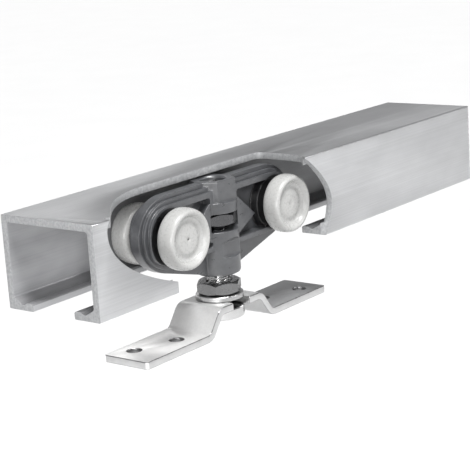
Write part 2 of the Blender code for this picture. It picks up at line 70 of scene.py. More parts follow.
# Cut-away window, measured from the track's near end and over its underside, or in from its front
WINDOW_LEFT = 7.4 * MM
WINDOW_TOP_LEFT = 9.0 * MM
WINDOW_TOP_RIGHT = 128.6 * MM
WINDOW_RIGHT = 147.0 * MM
WINDOW_DEPTH = 28.0 * MM
WINDOW_TOP_END = 133.4 * MM
LIP_CUT = (43.5 * MM, 141.5 * MM)

# Trolley body, over the track's underside and out from the bolt's axis
BODY_TOP = 32.0 * MM
BODY_END = 15.4 * MM
KEEL = (10.5 * MM, -5.7 * MM)
KEEL_END = (36.0 * MM, 1.3 * MM)
RIM_HALF_WIDTH = 2.2 * MM
HOOD_STEPS = ((1.6 * MM, 3.9 * MM), (3.2 * MM, 5.6 * MM))  # inset, half-width
HOOD_GROOVE = 0.55 * MM  # depth and width of the groove at the foot of each step
HOOD_BOTTOM = 4.0 * MM
POCKET_BOTTOM = 5.8 * MM
RIM_THICKNESS = 5.7 * MM
WEB_HALF_WIDTH = 1.0 * MM
HUB_DISC = (11.0 * MM, 4.6 * MM)  # radius, half-width
HUB_COLLAR = (4.5 * MM, 7.9 * MM)
BOSS_RADIUS = 9.6 * MM
BOSS_TOP = 32.3 * MM
BOSS_BOTTOM = -7.1 * MM
BLOCK_BOTTOM = 23.4 * MM
BLOCK_FRONT = (5.8 * MM, 7.4 * MM)
BLOCK_SIDE = (9.0 * MM, 1.7 * MM)
GUSSET_TIP = (20.6 * MM, 13.8 * MM)
GUSSET_HEIGHTS = (7.7 * MM, 23.6 * MM)
GUSSET_HALF_WIDTH = 5.2 * MM
FLAT_DEPTH = 7.7 * MM
FLAT_HEIGHTS = (0.7 * MM, 6.7 * MM)
NUT_POCKET_HALF = 8.8 * MM
NUT_POCKET_HEIGHTS = (11.4 * MM, 18.9 * MM)
BORE_RADIUS = 5.3 * MM
AXLE_BORE_RADIUS = 3.3 * MM
# reach of the painted shade in the recess behind each wheel
WHEEL_SHADE_RADIUS = 11.7 * MM
MOULD_SOFTNESS = 1.2 * MM
VOXEL = 0.2 * MM
SMOOTHING_PASSES = 3

# Wheels and bearings, in mm: radii and distances out from the wheel's middle
TYRE_RADIUS = 12.4
TYRE_SIDES = (-4.3, 4.05)
CAP_RADIUS = 8.86
BALL_CIRCLE = 5.75
BALL_RADIUS = 1.2
BALL_COUNT = 6
GROOVE_RADIUS = 1.5
# radius of the painted shadow in the cap's gate dimple
GATE_SHADOW_RADIUS = 0.5 * MM

# Bolt and nuts
SHANK_RADIUS = 5.0 * MM
THREAD_PITCH = 1.5 * MM
THREAD_DEPTH = 0.85 * MM
THREAD_RUN_OUT = 0.7 * MM
THREAD_FORM = (1.35, 0.1)  # steepness of the flanks, share of the pitch that is flat root
SHANK_TAPER = 0.5 * MM
BOLT_HEAD_HEIGHT = 4.5 * MM
BOLT_SLOT = (0.8 * MM, 1.9 * MM)  # half-width, depth
BOLT_SOCKET = (8 * MM, 3 * MM)  # across flats, depth
NUT_CHAMFER = math.radians(30)

# Hanger plate, measured from the bolt's axis
PLATE_THICKNESS = 3.0 * MM
PLATFORM_HALF = 13.5 * MM
RAMP_RUN = 6.8 * MM
BEND_RADIUS = 4.5 * MM
PLATE_CORNER = 1.3 * MM
PLATE_EDGE_BREAK = 0.28 * MM
SCREW_HOLE_RADIUS = 3.0 * MM
SCREW_HOLES = ((-50.5 * MM, 3.8 * MM), (-32.0 * MM, -2.4 * MM))  # repeated half a turn round

# Stage
FLOOR_DROP = 0.35
FLOOR_HALF = 12.0
WORLD_STRENGTH = 0.72

FINE_STEPS = 96
ARC_STEPS = 20
OVERCUT = 1 * MM  # how far a cutting shape passes the surface that it cuts


def arc(start, end, steps=10):
    """Angles from start to end, given in degrees."""
    return [math.radians(start + (end - start) * k / steps) for k in range(steps + 1)]


def curve(start, handle_a, handle_b, end, steps=ARC_STEPS):
    """Points along a smooth stretch of an outline, its first point left out."""
    corners = [Vector((*point, 0)) for point in (start, handle_a, handle_b, end)]
    return [tuple(point.xy) for point in interpolate_bezier(*corners, steps + 1)[1:]]


def rounded(outline, radii, steps=5):
    """An outline with each corner replaced by an arc; radii is one radius, or one for each corner."""
    soft = []
    count = len(outline)
    if not isinstance(radii, (list, tuple)):
        radii = [radii] * count
    for i, (corner, radius) in enumerate(zip(outline, radii)):
        here = Vector(corner)
        back = Vector(outline[i - 1]) - here
        ahead = Vector(outline[(i + 1) % count]) - here
        turn = math.pi - back.angle(ahead)
        if radius == 0 or turn < math.radians(25):
            soft.append(corner)
            continue
        reach = min(radius * math.tan(turn / 2), back.length * 0.45, ahead.length * 0.45)
        arc_radius = reach / math.tan(turn / 2)
        middle = (back.normalized() + ahead.normalized()).normalized()
        centre = here + middle * (arc_radius / math.cos(turn / 2))
        start = here + back.normalized() * reach - centre
        end = here + ahead.normalized() * reach - centre
        sweep = start.angle_signed(end)
        for k in range(steps + 1):
            spoke = start.copy()
            spoke.rotate(Matrix.Rotation(-sweep * k / steps, 2))
            soft.append(tuple(centre + spoke))
    return soft


def add_object(name, work, finishes=()):
    """An object from a bmesh drawn in the row's frame."""
    bmesh.ops.recalc_face_normals(work, faces=work.faces)
    mesh = bpy.data.meshes.new(name)
    work.to_mesh(mesh)
    work.free()
    piece = bpy.data.objects.new(name, mesh)
    bpy.context.scene.collection.objects.link(piece)
    for finish in finishes:
        mesh.materials.append(finish)
    return piece


def prism(outline, axis, low, high):
    """A bmesh of a flat outline drawn in the plane across an axis, pulled from low to high along it."""
    orders = {
        "X": lambda a, b, c: (c, a, b),
        "Y": lambda a, b, c: (a, c, b),
        "Z": lambda a, b, c: (a, b, c),
    }
    order = orders[axis]
    work = bmesh.new()
    base = work.faces.new([work.verts.new(order(a, b, low)) for a, b in outline])
    pulled = bmesh.ops.extrude_face_region(work, geom=[base])
    tops = [item for item in pulled["geom"] if isinstance(item, bmesh.types.BMVert)]
    bmesh.ops.translate(work, verts=tops, vec=Vector(order(0, 0, high - low)))
    return work


def turned(profile, axis, steps=FINE_STEPS, place=(0, 0, 0)):
    """A bmesh of a closed (radius, height) profile turned round an axis through a place."""
    spin_axis = Vector((0, 1, 0)) if axis == "Y" else Vector((0, 0, 1))
    work = bmesh.new()
    if axis == "Y":
        ring = [work.verts.new((radius, height, 0)) for radius, height in profile]
    else:
        ring = [work.verts.new((radius, 0, height)) for radius, height in profile]
    pairs = zip(ring, ring[1:] + ring[:1])
    edges = [work.edges.new((a, b)) for a, b in pairs if a.co.x > 0 or b.co.x > 0]
    bmesh.ops.spin(
        work,
        geom=ring + edges,
        axis=spin_axis,
        cent=(0, 0, 0),
        angle=2 * math.pi,
        steps=steps,
        use_merge=True,
    )
    bmesh.ops.remove_doubles(work, verts=work.verts, dist=0.005 * MM)
    bmesh.ops.translate(work, verts=work.verts, vec=Vector(place))
    return work


def rod(radius, low, high, axis, place=(0, 0, 0), steps=FINE_STEPS):
    """A bmesh of a round rod along an axis through a place."""
    return turned([(0, low), (radius, low), (radius, high), (0, high)], axis, steps, place)


def box(low, high):
    """A bmesh of a box between two corners."""
    base = [(low[0], low[1]), (high[0], low[1]), (high[0], high[1]), (low[0], high[1])]
    return prism(base, "Z", low[2], high[2])


def hexagon(flats):
    """The corners of a hexagon with two corners on Y."""
    radius = flats / math.sqrt(3)
    angles = [math.pi / 6 + k * math.pi / 3 for k in range(6)]
    return [(radius * math.cos(angle), radius * math.sin(angle)) for angle in angles]


def combine(piece, work, operation, solver="EXACT", finishes=(), face_slot=0):
    """Joins, cuts or keeps what is shared with a shape whose faces have a material slot of their own."""
    other = add_object(piece.name + "_tool", work, finishes)
    for face in other.data.polygons:
        face.material_index = face_slot
    step = piece.modifiers.new("shape", "BOOLEAN")
    step.operation = operation
    step.solver = solver
    step.object = other
    settle(piece)
    bpy.data.objects.remove(other)


def settle(piece):
    """Turns a piece's modifiers into plain mesh."""
    bpy.context.view_layer.update()
    graph = bpy.context.evaluated_depsgraph_get()
    mesh = bpy.data.meshes.new_from_object(piece.evaluated_get(graph))
    piece.modifiers.clear()
    piece.data = mesh


def shade(piece, angle=32):
    """Smooth shading, with edges over the angle, in degrees, kept sharp."""
    piece.data.shade_smooth()
    piece.data.set_sharp_from_angle(angle=math.radians(angle))


def bevelled(piece, width, segments=2, limit=38, face_slot=-1):
    """Breaks a piece's edges that turn by more than a limit in degrees."""
    step = piece.modifiers.new("edges", "BEVEL")
    step.width = width
    step.segments = segments
    step.limit_method = "ANGLE"
    step.angle_limit = math.radians(limit)
    step.material = face_slot
    settle(piece)


def dress(piece, body, slot_name, *nodes):
    """Says which CAD body a piece moves with and hides the nodes it stands for; slot_name is not used."""
    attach(piece, body)
    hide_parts(*nodes)


# ---------------------------------------------------------------- materials


class Finish:
    """A node material under construction."""

    def __init__(self, name, colour, roughness, metallic=0.0):
        self.material = bpy.data.materials.new(name)
        self.material.use_nodes = True
        self.tree = self.material.node_tree
        self.shader = self.tree.nodes["Principled BSDF"]
        self.set("Base Color", (*colour, 1))
        self.set("Roughness", roughness)
        self.set("Metallic", metallic)
        self.places = self.tree.nodes.new("ShaderNodeTexCoord").outputs["Object"]

    def set(self, socket, value):
        """A constant value for one of the shader's sockets."""
        self.shader.inputs[socket].default_value = value

    def stretched(self, scale):
        """Object coordinates, stretched along its axes."""
        mapping = self.tree.nodes.new("ShaderNodeMapping")
        mapping.inputs["Scale"].default_value = scale
        self.tree.links.new(self.places, mapping.inputs["Vector"])
        return mapping.outputs["Vector"]

    def noise(self, scale, detail=3.0, rough=0.55):
        """Cloudy values between 0 and 1; scale is cells for each metre along X, Y and Z."""
        texture = self.tree.nodes.new("ShaderNodeTexNoise")
        texture.inputs["Scale"].default_value = 1.0
        texture.inputs["Detail"].default_value = detail
        texture.inputs["Roughness"].default_value = rough
        self.tree.links.new(self.stretched(scale), texture.inputs["Vector"])
        return texture.outputs["Fac"]

    def along_track(self, start, end):
        """A value that runs from 0 to 1 between two places along X."""
        split = self.tree.nodes.new("ShaderNodeSeparateXYZ")
        spread = self.tree.nodes.new("ShaderNodeMapRange")
        spread.inputs["From Min"].default_value = start
        spread.inputs["From Max"].default_value = end
        self.tree.links.new(self.places, split.inputs["Vector"])
        self.tree.links.new(split.outputs["X"], spread.inputs["Value"])
        return spread.outputs["Result"]

    def ramp(self, value, low, high, bottom=0.3, top=0.7):
        """A value between bottom and top spread to run from low to high; tuples give colours."""
        ramp = self.tree.nodes.new("ShaderNodeValToRGB")
        ends = ramp.color_ramp.elements
        ends[0].position = bottom
        ends[1].position = top
        for element, colour in zip(ends, (low, high)):
            element.color = (*colour, 1) if isinstance(colour, tuple) else (colour, colour, colour, 1)
        self.tree.links.new(value, ramp.inputs["Fac"])
        return ramp.outputs["Color"]

    def blend(self, a, b):
        """Two colours multiplied."""
        mix = self.tree.nodes.new("ShaderNodeMix")
        mix.data_type = "RGBA"
        mix.blend_type = "MULTIPLY"
        mix.inputs["Factor"].default_value = 1.0
        self.tree.links.new(a, mix.inputs["A"])
        self.tree.links.new(b, mix.inputs["B"])
        return mix.outputs["Result"]

    def drive(self, socket, value):
        """A socket of the shader fed by another node."""
        self.tree.links.new(value, self.shader.inputs[socket])

    def bump(self, height, distance, strength):
        """Surface relief from a height."""
        bump = self.tree.nodes.new("ShaderNodeBump")
        bump.inputs["Distance"].default_value = distance
        bump.inputs["Strength"].default_value = strength
        self.tree.links.new(height, bump.inputs["Height"])
        self.tree.links.new(bump.outputs["Normal"], self.shader.inputs["Normal"])


def extruded_aluminium(name, dark, light, rough, metallic=1.0):
    """Mill-finish aluminium with die lines along the track, between a dark and a light tint."""
    finish = Finish(name, light, rough, metallic)
    fine = finish.noise((3, 2600, 2600), 4, 0.7)
    broad = finish.noise((2, 330, 330), 3)
    patches = finish.noise((25, 60, 60), 3)
    lines = finish.blend(finish.ramp(fine, 0.87, 1.0), finish.ramp(broad, 0.90, 1.0))
    finish.drive("Base Color", finish.blend(lines, finish.ramp(patches, dark, light)))
    finish.drive("Roughness", finish.ramp(broad, rough - 0.06, rough + 0.08))
    finish.set("Anisotropic", 0.35)
    finish.bump(fine, 0.02 * MM, 0.5)
    return finish.material


def cut_aluminium():
    """Freshly cut aluminium, with fine cutting marks."""
    finish = Finish("cut_aluminium", (0.6, 0.6, 0.6), 0.5, 0.15)
    marks = finish.noise((1500, 1500, 120), 3, 0.6)
    patches = finish.noise((900, 900, 900), 3)
    tint = finish.ramp(patches, (0.25, 0.254, 0.26), (0.37, 0.375, 0.38))
    finish.drive("Base Color", finish.blend(finish.ramp(marks, 0.86, 1.0), tint))
    finish.drive("Roughness", finish.ramp(patches, 0.38, 0.55))
    finish.bump(marks, 0.03 * MM, 0.6)
    return finish.material


def grey_plastic(name, dark, light):
    """Glass-filled nylon: fine cloudiness between two tints and a faint moulded texture."""
    finish = Finish(name, light, 0.33)
    clouds = finish.noise((260, 260, 420), 4, 0.6)
    grain = finish.noise((4200, 4200, 4200), 2)
    finish.drive("Base Color", finish.ramp(clouds, dark, light))
    finish.drive("Roughness", finish.ramp(clouds, 0.27, 0.38))
    finish.bump(grain, 0.008 * MM, 0.4)
    finish.set("Specular IOR Level", 0.8)
    return finish.material


def white_nylon():
    """Natural nylon, smooth from the mould and slightly translucent."""
    finish = Finish("white_nylon", (0.80, 0.80, 0.785), 0.3)
    clouds = finish.noise((150, 150, 150), 3)
    swirl = finish.noise((900, 900, 900), 2)
    finish.drive("Base Color", finish.ramp(clouds, (0.36, 0.36, 0.353), (0.367, 0.367, 0.36)))
    finish.drive("Roughness", finish.ramp(swirl, 0.24, 0.34))
    finish.bump(swirl, 0.002 * MM, 0.2)
    finish.set("Subsurface Weight", 0.08)
    finish.set("Subsurface Radius", (1.0, 1.0, 0.9))
    finish.set("Subsurface Scale", 0.8 * MM)
    return finish.material


def bright_plate(name, colour, smooth, dull):
    """Zinc-plated steel: bright, with faint rolling lines and cloudy dulling."""
    finish = Finish(name, colour, smooth, 1.0)
    clouds = finish.noise((220, 220, 220), 4, 0.6)
    ripple = finish.noise((90, 420, 420), 2)
    finish.drive("Base Color", finish.ramp(clouds, tuple(0.88 * c for c in colour), colour))
    finish.drive("Roughness", finish.ramp(clouds, smooth, dull))
    finish.bump(ripple, 0.03 * MM, 0.4)
    return finish.material


def plate_painted_light():
    """Zinc plate with painted light and shade: bright at the near end and darker at the far end."""
    finish = Finish("plated_plate", (0.8, 0.8, 0.79), 0.2, 0.62)
    clouds = finish.noise((220, 220, 220), 4, 0.6)
    speckle = finish.noise((900, 900, 900), 3, 0.7)
    ripple = finish.noise((90, 420, 420), 2)
    # painted light and shade: the colour runs from bright at the near end to dark at the far end
    place = finish.along_track(axis_x - 34 * MM, axis_x + 24 * MM)
    tint = finish.ramp(place, (0.93, 0.925, 0.915), (0.34, 0.342, 0.345), 0.0, 1.0)
    mottled = finish.blend(finish.ramp(clouds, 0.94, 1.0), finish.ramp(speckle, 0.93, 1.0))
    finish.drive("Base Color", finish.blend(tint, mottled))
    finish.drive("Roughness", finish.ramp(clouds, 0.30, 0.34))
    finish.bump(ripple, 0.01 * MM, 0.2)
    return finish.material


# ---------------------------------------------------------------- track


def track_section():
    """Half the channel's section: distance in from the outer wall, height over the underside."""
    high = track_high.z - track_low.z
    middle = track_width / 2
    corners = [(0, high, CORNER_RADIUS), (0, 0, CORNER_RADIUS), (LIP_WIDTH, 0, CORNER_RADIUS)]
    corners += [(x * MM, z * MM, 0.3 * MM) for x, z in LIP_OUTLINE]
    corners += [(WALL, LIP_FOOT_TOP, INNER_RADIUS), (WALL, high - WALL, INNER_RADIUS)]
    corners += [(middle, high - WALL, 0), (middle, high, 0)]
    return rounded([corner[:2] for corner in corners], [corner[2] for corner in corners])[:-1]


def front_window():
    """The window as the front wall shows it: distance from the near end, height over the underside."""
    height = track_high.z - track_low.z
    over = height + OVERCUT
    left_low = (LIP_CUT[0], LIP_FOOT_TOP)
    left_high = (WINDOW_LEFT, 31 * MM)
    right_high = (WINDOW_RIGHT, 14.5 * MM)
    points = [(WINDOW_TOP_LEFT, over), (WINDOW_TOP_LEFT, height)]
    points += curve(points[-1], (8.4 * MM, 34.5 * MM), (WINDOW_LEFT, 33 * MM), left_high, 8)
    points += curve(left_high, (WINDOW_LEFT, 20 * MM), (22 * MM, 11.5 * MM), left_low, 28)
    points += [(LIP_CUT[0], -OVERCUT), (LIP_CUT[1], -OVERCUT), (LIP_CUT[1], 0)]
    points += curve(points[-1], (143.5 * MM, 4 * MM), (WINDOW_RIGHT, 9 * MM), right_high, 14)
    top_right = (WINDOW_TOP_RIGHT, height)
    points += curve(right_high, (WINDOW_RIGHT, 22 * MM), (135.5 * MM, 31.6 * MM), top_right, 24)
    return points + [(WINDOW_TOP_RIGHT, over)]


def top_window():
    """The window as the top wall shows it: distance from the near end, distance in from the front."""
    depth = WINDOW_DEPTH
    right = WINDOW_TOP_END
    far_corner = (right, depth - 5 * MM)
    near_corner = (WINDOW_TOP_RIGHT, 0)
    points = [(WINDOW_TOP_LEFT, -OVERCUT), (WINDOW_TOP_LEFT, 0)]
    points += curve(points[-1], (21 * MM, 9.5 * MM), (36 * MM, depth), (58 * MM, depth), 32)
    points += [(right - 4 * MM, depth)]
    points += curve(points[-1], (right - 1.2 * MM, depth), (right, depth - 1.5 * MM), far_corner, 10)
    points += curve(far_corner, (right, 14 * MM), (right + 0.4 * MM, 3.6 * MM), near_corner, 14)
    return points + [(WINDOW_TOP_RIGHT, -OVERCUT)]


def track_slot(face):
    """Material slot: outside 0, sawn ends 1, sides of the hollow 2, its roof and floor 3; slots 2 and 3
    carry painted shade.
    """
    if abs(face.normal.x) > 0.9:
        return 1
    middle = face.center
    deep = track_width / 2 - abs(middle.y) > WALL / 2
    if deep and track_low.z + 0.3 * MM < middle.z < track_high.z - WALL / 2:
        return 3 if abs(face.normal.z) > 0.5 else 2
    return 0


def make_track(finishes):
    """The extrusion, with a finish each for its drawn faces, its cuts and its hollow."""
    front = [(track_low.y + depth, track_low.z + height) for depth, height in track_section()]
    back = [(-y, z) for y, z in reversed(front[:-1])]
    track = add_object("track_channel", prism(front + back, "X", track_low.x, track_high.x), finishes)
    for face in track.data.polygons:
        face.material_index = track_slot(face)
    outline = [(track_low.x + x, track_low.z + z) for x, z in front_window()]
    cutters = [prism(outline, "Y", track_low.y - OVERCUT, track_low.y + WALL + 0.02 * MM)]
    outline = [(track_low.x + x, track_low.y + y) for x, y in top_window()]
    roof_low = track_high.z - WALL - 1.1 * INNER_RADIUS
    cutters.append(prism(outline, "Z", roof_low, track_high.z + OVERCUT))
    lip_low = (track_low.x + LIP_CUT[0], track_low.y - OVERCUT, track_low.z - OVERCUT)
    lip_inner = track_low.y + LIP_WIDTH + OVERCUT
    lip_top = track_low.z + LIP_FOOT_TOP + 1.2 * MM
    cutters.append(box(lip_low, (track_low.x + LIP_CUT[1], lip_inner, lip_top)))
    for cutter in cutters:
        combine(track, cutter, "DIFFERENCE", finishes=finishes, face_slot=1)
    bevelled(track, EDGE_BREAK, 2, 40, 1)
    shade(track, 30)
    dress(track, "track", "aluminium", "track")


# ---------------------------------------------------------------- trolley body


def upper_arc(inset):
    """The body's end from the axle's height up to its flat top."""
    end = half_spacing + BODY_END - inset
    top = BODY_TOP - inset
    handles = ((end, 25.5 * MM), (half_spacing + 7 * MM, top))
    return curve((end, axle_height), *handles, (half_spacing - 3 * MM, top))


def lower_arc(inset):
    """The body's end from its keel up to the axle's height."""
    end = half_spacing + BODY_END - inset
    start = (KEEL_END[0], KEEL_END[1] + inset)
    handles = ((KEEL_END[0] + 5 * MM, start[1] + 1.4 * MM), (end, 8 * MM))
    return [start] + curve(start, *handles, (end, axle_height))


def mirrored(right):
    """A closed outline from its right half, listed from bottom to top."""
    return right + [(-x, z) for x, z in reversed(right)]


def canoe():
    """The body's whole outline."""
    return mirrored([KEEL] + lower_arc(0) + upper_arc(0))


def hood(inset):
    """The outline of one step of the hood."""
    tuck = (half_spacing - 6 * MM, HOOD_BOTTOM)
    return mirrored([tuck] + lower_arc(inset) + upper_arc(inset))


def pocket(side):
    """The recess between the rim and the boss on one side of the body."""
    top = BODY_TOP - RIM_THICKNESS
    end = half_spacing + BODY_END - RIM_THICKNESS
    near = BOSS_RADIUS - 1 * MM
    points = [(near, POCKET_BOTTOM), (half_spacing, POCKET_BOTTOM + 0.6 * MM)]
    points += curve(points[-1], (half_spacing + 5 * MM, 7 * MM), (end, 11 * MM), (end, axle_height), 12)
    flat = (half_spacing - 2 * MM, top)
    points += curve(points[-1], (end, 22 * MM), (half_spacing + 5 * MM, top), flat, 12)
    points += [(near, top)]
    return [(side * x, z) for x, z in points]


def shifted(outline):
    """An outline of the body, moved from the bolt's axis and the track's underside to its place."""
    return [(axis_x + x, track_low.z + z) for x, z in outline]


def body_additions():
    """Solids that join the rim: hub discs, collars, boss, block and gusset."""
    for side in (-1, 1):
        centre = (axis_x + side * half_spacing, 0, track_low.z + axle_height)
        for radius, half_width in (HUB_DISC, HUB_COLLAR):
            yield rod(radius, -half_width, half_width, "Y", centre)
    axis = (axis_x, 0, track_low.z)
    soft = MOULD_SOFTNESS
    profile = [(0, BOSS_BOTTOM), (BOSS_RADIUS - soft, BOSS_BOTTOM)]
    profile += [(BOSS_RADIUS - 0.35 * soft, BOSS_BOTTOM + 0.35 * soft), (BOSS_RADIUS, BOSS_BOTTOM + soft)]
    profile += [(BOSS_RADIUS, BLOCK_BOTTOM), (0, BLOCK_BOTTOM)]
    yield turned(profile, "Z", FINE_STEPS, axis)
    right = [(BLOCK_FRONT[0], -BLOCK_FRONT[1]), (BLOCK_SIDE[0], -BLOCK_SIDE[1])]
    right += [(x, -y) for x, y in reversed(right)]
    block = [(axis_x + x, y) for x, y in mirrored(right)]
    yield prism(block, "Z", track_low.z + BLOCK_BOTTOM - soft, track_low.z + BOSS_TOP)
    near = BOSS_RADIUS - 0.5 * MM
    kite = shifted(mirrored([(near, GUSSET_HEIGHTS[0]), GUSSET_TIP, (near, GUSSET_HEIGHTS[1])]))
    yield prism(kite, "Y", -GUSSET_HALF_WIDTH, GUSSET_HALF_WIDTH)


def body_cutters():
    """The bolt's bore, the nut's pocket, the flats low on the boss and the axles' bores."""
    axis = (axis_x, 0, track_low.z)
    outside = BOSS_RADIUS + OVERCUT
    lead = 0.7 * MM
    over, under = BOSS_TOP + OVERCUT, BOSS_BOTTOM - OVERCUT
    profile = [(0, under), (BORE_RADIUS, under), (BORE_RADIUS, BOSS_TOP - lead)]
    profile += [(BORE_RADIUS + lead + OVERCUT, over), (0, over)]
    yield turned(profile, "Z", FINE_STEPS, axis)
    low, high = NUT_POCKET_HEIGHTS
    half = NUT_POCKET_HALF
    opening = rounded([(-half, low), (half, low), (half, high), (-half, high)], 0.8 * MM)
    yield prism(shifted(opening), "Y", -outside, outside)
    start = half - 1.9 * MM
    notch = [(start, low), (half, low), (half, high + 2.2 * MM), (start, high)]
    yield prism(shifted(rounded(notch, 0.5 * MM)), "Y", -outside, -GUSSET_HALF_WIDTH + 1.5 * MM)
    bevel_top = FLAT_HEIGHTS[1] + outside - FLAT_DEPTH
    for face in (-1, 1):
        side = [(FLAT_DEPTH, FLAT_HEIGHTS[0]), (outside, FLAT_HEIGHTS[0]), (outside, bevel_top)]
        side.append((FLAT_DEPTH, FLAT_HEIGHTS[1]))
        outline = [(face * y, track_low.z + z) for y, z in side]
        yield prism(outline, "X", axis_x - outside, axis_x + outside)
        centre = (axis_x + face * half_spacing, 0, track_low.z + axle_height)
        yield rod(AXLE_BORE_RADIUS, -outside, outside, "Y", centre)


def in_painted_wheel_shade(face):
    """True for the body's faces in the recesses behind the wheels, which get painted shade."""
    height = face.center.z - track_low.z - axle_height
    reach = math.hypot(abs(face.center.x - axis_x) - half_spacing, height)
    return reach < WHEEL_SHADE_RADIUS and abs(face.center.y) < HOOD_STEPS[-1][1] + 0.3 * MM


def make_body(finish, wheel_shade_finish):
    """The moulded body, with every edge softened as a mould leaves it."""
    rim = prism(shifted(canoe()), "Y", -RIM_HALF_WIDTH, RIM_HALF_WIDTH)
    body = add_object("trolley_moulding", rim, (finish, wheel_shade_finish))
    inner = RIM_HALF_WIDTH
    for inset, half_width in HOOD_STEPS:
        deep = prism(shifted(hood(inset + HOOD_GROOVE)), "Y", -half_width, half_width)
        combine(body, deep, "UNION", "MANIFOLD")
        for face in (-1, 1):
            low, high = sorted((face * (inner + HOOD_GROOVE), face * half_width))
            combine(body, prism(shifted(hood(inset)), "Y", low, high), "UNION", "MANIFOLD")
        inner = half_width
    for side in (-1, 1):
        for face in (-1, 1):
            low, high = sorted((face * WEB_HALF_WIDTH, face * BOSS_RADIUS))
            outline = shifted(rounded(pocket(side), MOULD_SOFTNESS))
            combine(body, prism(outline, "Y", low, high), "DIFFERENCE", "MANIFOLD")
    for solid in body_additions():
        combine(body, solid, "UNION", "MANIFOLD")
    for cutter in body_cutters():
        combine(body, cutter, "DIFFERENCE", "MANIFOLD")
    voxels = body.modifiers.new("voxels", "REMESH")
    voxels.mode = "VOXEL"
    voxels.voxel_size = VOXEL
    softening = body.modifiers.new("softening", "SMOOTH")
    softening.factor = 0.5
    softening.iterations = SMOOTHING_PASSES
    settle(body)
    # painted shade: faces in the recesses behind the wheels take the near-black plastic
    for face in body.data.polygons:
        face.material_index = in_painted_wheel_shade(face)
    body.data.shade_smooth()
    dress(body, "trolley", "grey_plastic", "trolley_body")


# ---------------------------------------------------------------- wheels


def along(outward, profile):
    """A wheel's profile in mm, turned to face outwards."""
    return [(radius * MM, outward * height * MM) for radius, height in profile]


def tyre_profile():
    """The round-shouldered tyre."""
    inner, outer = TYRE_SIDES
    tread = (TYRE_RADIUS, -0.6)
    crown = (10.8, outer)
    profile = [(8.3, 1.5), (8.3, inner + 0.2), (8.5, inner), (9.9, inner)]
    profile += curve((9.9, inner), (11.7, inner), (TYRE_RADIUS, -2.8), tread, 16)
    profile += curve(tread, (TYRE_RADIUS, 2.2), (12.0, 4.0), crown, 20)
    profile += curve(crown, (9.9, 4.1), (9.5, 3.2), (8.92, 2.5), 14)
    return profile + [(8.9, 1.5)]


def cap_profile(gate_depth):
    """The dished cap: a hollow ring round a raised centre with the mark of its gate."""
    rim = (CAP_RADIUS + 0.02, 2.46)
    valley = (7.0, 1.8)
    gate = 2.44 - gate_depth
    profile = [(0, 1.9), (6.0, 1.9), (6.3, 1.8), (CAP_RADIUS, 1.8), rim]
    profile += curve(rim, (8.4, 1.95), (7.7, 1.75), valley, 12)
    profile += curve(valley, (6.3, 1.86), (6.1, 2.2), (5.4, 2.3), 10)
    return profile + [(4.6, 2.36), (2.4, 2.42), (0.75, 2.44), (0.66, 2.38), (0.52, gate), (0, gate)]


def groove(start, end):
    """The arc that a race's groove follows round a ball."""
    return [(GROOVE_RADIUS * math.cos(a), GROOVE_RADIUS * math.sin(a)) for a in arc(start, end)]


def race_profiles():
    """The outer and inner race of the bearing, with their grooves and lips."""
    outer = [(8.0, 2.2), (8.0, -2.2), (7.7, -2.5), (6.8, -2.5), (6.6, -2.3)]
    outer += [(BALL_CIRCLE + x, y) for x, y in groove(-50, 50)]
    outer += [(6.6, 2.3), (6.8, 2.5), (7.7, 2.5)]
    inner = [(3.3, -2.3), (3.3, 2.3), (3.5, 2.5), (4.7, 2.5), (4.9, 2.3)]
    inner += [(BALL_CIRCLE - x, y) for x, y in groove(50, -50)]
    inner += [(4.9, -2.3), (4.7, -2.5), (3.5, -2.5)]
    return outer, inner


def ball_cage(centre):
    """A ribbon cage with its balls."""
    ring = [(5.45, -1.6), (6.05, -1.6), (6.05, 1.6), (5.45, 1.6)]
    work = turned(along(1, ring), "Y", FINE_STEPS, centre)
    for k in range(BALL_COUNT):
        angle = 2 * math.pi * k / BALL_COUNT
        spot = Vector(centre) + BALL_CIRCLE * MM * Vector((math.cos(angle), 0, math.sin(angle)))
        place = Matrix.Translation(spot)
        bmesh.ops.create_icosphere(work, subdivisions=3, radius=BALL_RADIUS * MM, matrix=place)
    return work


def make_wheel(corner, nylon, steel, shadow):
    """One wheel with its cap and bearing, placed from its tyre's and its outer race's CAD boxes."""
    outward = -1 if corner.startswith("front") else 1
    low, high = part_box("tyre_" + corner)
    centre = (low + high) / 2
    low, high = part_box("outer_race_" + corner)
    seat = (low + high) / 2
    outer, inner = race_profiles()
    marked = corner == "front_left"
    gate_depth = 0.5 if marked else 0.05
    gate_shadow_radius = GATE_SHADOW_RADIUS if marked else 0
    parts = (
        ("tyre", along(outward, tyre_profile()), centre, nylon, "white_nylon", "wheel_"),
        ("cap", along(outward, cap_profile(gate_depth)), centre, nylon, "white_nylon", "wheel_"),
        ("outer_race", along(1, outer), seat, steel, "bearing_steel", "wheel_"),
        ("inner_race", along(1, inner), seat, steel, "bearing_steel", None),
    )
    for kind, profile, place, finish, slot_name, body in parts:
        work = turned(profile, "Y", FINE_STEPS, place)
        piece = add_object(kind + "_turned_" + corner, work, (finish, shadow))
        # painted shade: the cap's faces inside the gate's dimple take the dark steel, a painted shadow
        for face in piece.data.polygons:
            reach = math.hypot(face.center.x - place.x, face.center.z - place.z)
            face.material_index = reach < gate_shadow_radius
        shade(piece, 40)
        dress(piece, body + corner if body else "trolley", slot_name, kind + "_" + corner)
    cage = add_object("balls_in_cage_" + corner, ball_cage(seat), (steel,))
    shade(cage)
    dress(cage, "cage_" + corner, "bearing_steel", "ball_cage_" + corner)


